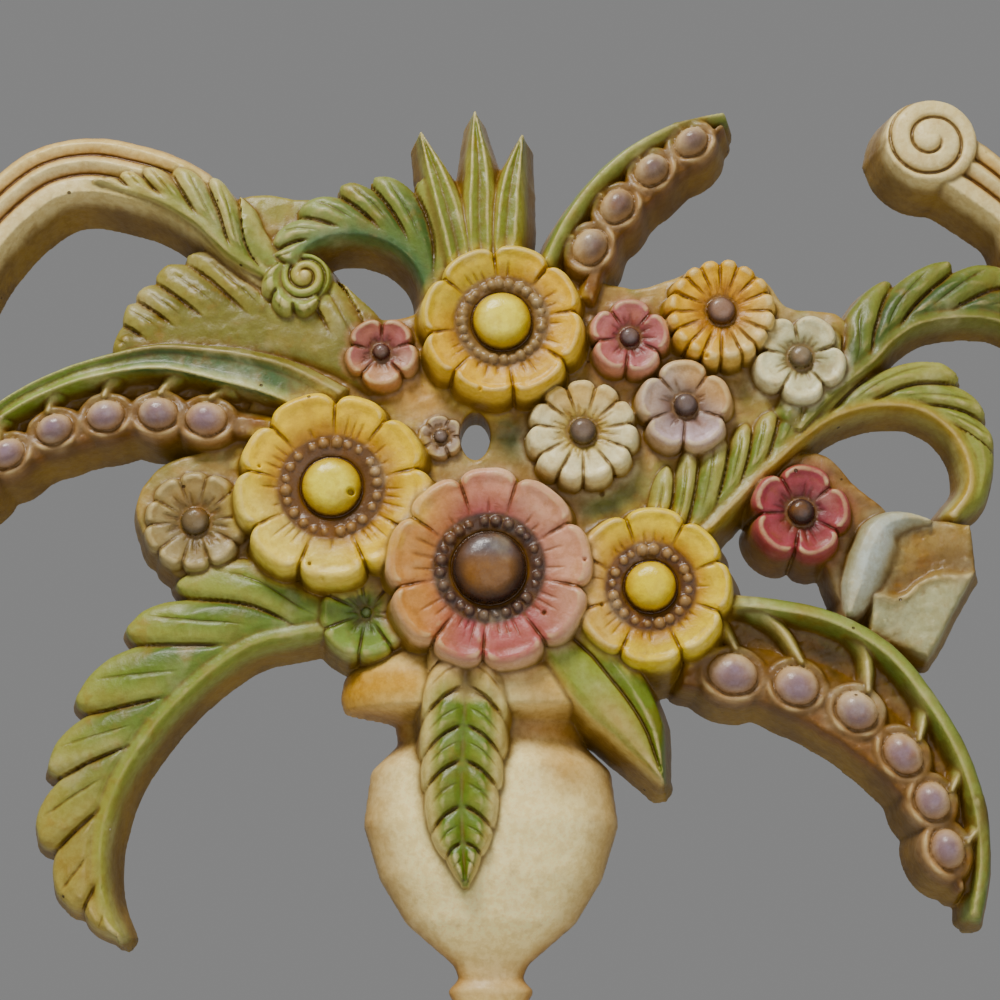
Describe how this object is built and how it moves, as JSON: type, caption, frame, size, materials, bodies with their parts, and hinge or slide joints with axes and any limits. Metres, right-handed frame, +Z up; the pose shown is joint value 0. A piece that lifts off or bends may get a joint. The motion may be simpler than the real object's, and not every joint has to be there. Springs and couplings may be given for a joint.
{
  "type": "decorative wall plaque",
  "caption": "Pierced relief plaque: a bouquet of domed flowers, curling leaves and podded sprays rising from a half-round urn, flat at the back.",
  "frame": {"origin": "on the flat back, behind the large flower just above the urn, where the plaque rests on the wall", "axes": "+Y into the wall, square to the flat back; +X to the right as seen from the front; +Z up"},
  "size_m": [0.3589, 0.034, 0.3011],
  "materials": {
    "painted_plaster": "painted and glazed, semi-gloss, worn on the high edges"
  },
  "bodies": {
    "root": {"plaque": "painted_plaster"}
  },
  "joints": []
}
